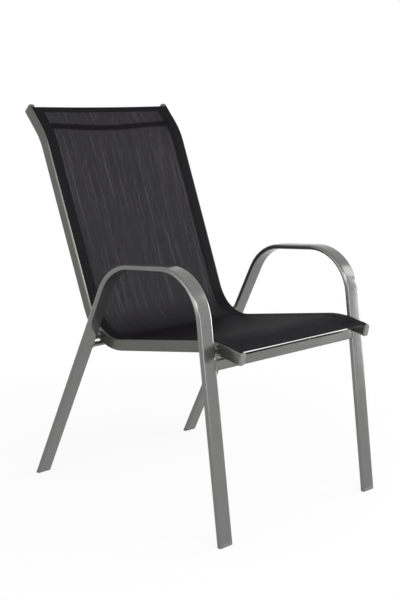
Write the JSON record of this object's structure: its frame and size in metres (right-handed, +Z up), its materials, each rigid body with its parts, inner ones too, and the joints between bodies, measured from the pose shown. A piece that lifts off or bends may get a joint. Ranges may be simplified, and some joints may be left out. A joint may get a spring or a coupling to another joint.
{
  "type": "sling patio chair",
  "caption": "Stackable outdoor armchair: bent flat-oval tube hoops form legs and arms, and slim rails carry one woven mesh sling as seat and high back.",
  "frame": {"origin": "on the floor, under the middle of the chair's bounding box", "axes": "+Z up; -Y is the way the sitter faces, so the front edge of the seat is at -Y; +X is the sitter's left"},
  "size_m": [0.556, 0.7578, 0.936],
  "materials": {
    "frame_coating": "satin silver-grey powder coat on steel tube",
    "rail_coating": "satin silver-grey powder coat on steel tube",
    "foot_plastic": "matt grey moulded plastic",
    "cap_plastic": "speckled silver-grey moulded plastic",
    "sling_mesh": "charcoal PVC-coated polyester weave",
    "spline_plastic": "extruded plastic cord",
    "bolt_steel": "zinc plated",
    "insert_steel": "yellow zinc plated"
  },
  "bodies": {
    "root": {"hoop_left": "frame_coating", "hoop_right": "frame_coating", "front_crossbar": "frame_coating", "rear_crossbar": "frame_coating", "foot_cap_front_left": "foot_plastic", "foot_cap_front_right": "foot_plastic", "foot_cap_rear_left": "foot_plastic", "foot_cap_rear_right": "foot_plastic", "rail_left": "rail_coating", "rail_right": "rail_coating", "rail_front_cap_left": "cap_plastic", "rail_front_cap_right": "cap_plastic", "rail_top_cap_left": "cap_plastic", "rail_top_cap_right": "cap_plastic", "head_spreader": "frame_coating", "lumbar_spreader": "frame_coating", "seat_spreader": "frame_coating", "sling": "sling_mesh", "spline_left": "spline_plastic", "spline_right": "spline_plastic", "bolt_front_left": "bolt_steel", "bolt_front_right": "bolt_steel", "bolt_rear_left": "bolt_steel", "bolt_rear_right": "bolt_steel", "spacer_front_left": "rail_coating", "spacer_front_right": "rail_coating", "spacer_rear_left": "rail_coating", "spacer_rear_right": "rail_coating", "insert_front_left": "insert_steel", "insert_front_right": "insert_steel", "insert_rear_left": "insert_steel", "insert_rear_right": "insert_steel"}
  },
  "joints": []
}
